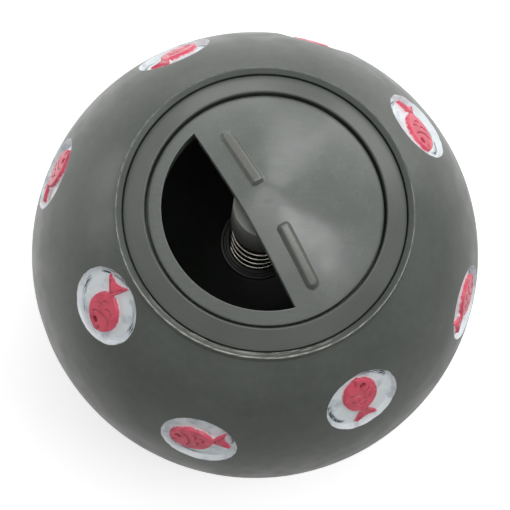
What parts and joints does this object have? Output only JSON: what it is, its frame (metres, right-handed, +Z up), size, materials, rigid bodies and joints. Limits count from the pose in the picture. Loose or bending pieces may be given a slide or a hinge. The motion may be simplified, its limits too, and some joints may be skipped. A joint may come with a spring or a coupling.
{
  "type": "treat dispensing ball",
  "caption": "Hollow pet toy ball with a sprung, turning dial in its lid: the dial's segment window opens or shuts the way for dry treats.",
  "frame": {"origin": "bottom centre, in the middle of the flat land that the ball rests on", "axes": "+Z up along the lid's axis, out of the mouth; -Y towards the dial's window at rest; X along the window's straight edge"},
  "size_m": [0.075, 0.075, 0.0751],
  "materials": {
    "ball_plastic": "matt moulded skin; the round medallions are painted pearl white with a pinkish red fish",
    "lid_plastic": "satin moulded plastic",
    "dial_plastic": "satin moulded plastic",
    "spring_steel": "bright drawn wire",
    "screw_steel": "zinc plated"
  },
  "bodies": {
    "ball": {"ball_shell": "ball_plastic", "collar_ring": "lid_plastic", "shutter_plate": "lid_plastic", "spring": "spring_steel"},
    "lifter": {"spring_washer": "lid_plastic"},
    "dial": {"dial": "dial_plastic", "spindle": "lid_plastic", "retaining_screw": "screw_steel"}
  },
  "joints": [
    {"name": "dial_lift", "type": "slide", "parent": "ball", "child": "lifter", "axis": [0, 0, 1], "range_m": [0, 0.003], "stiffness_N_per_m": 400, "springref_m": -0.006, "deforming": ["spring"]},
    {"name": "dial_turn", "type": "hinge", "parent": "lifter", "child": "dial", "pos_m": [0, 0, 0.0371], "axis": [0, 0, 1], "continuous": true}
  ]
}
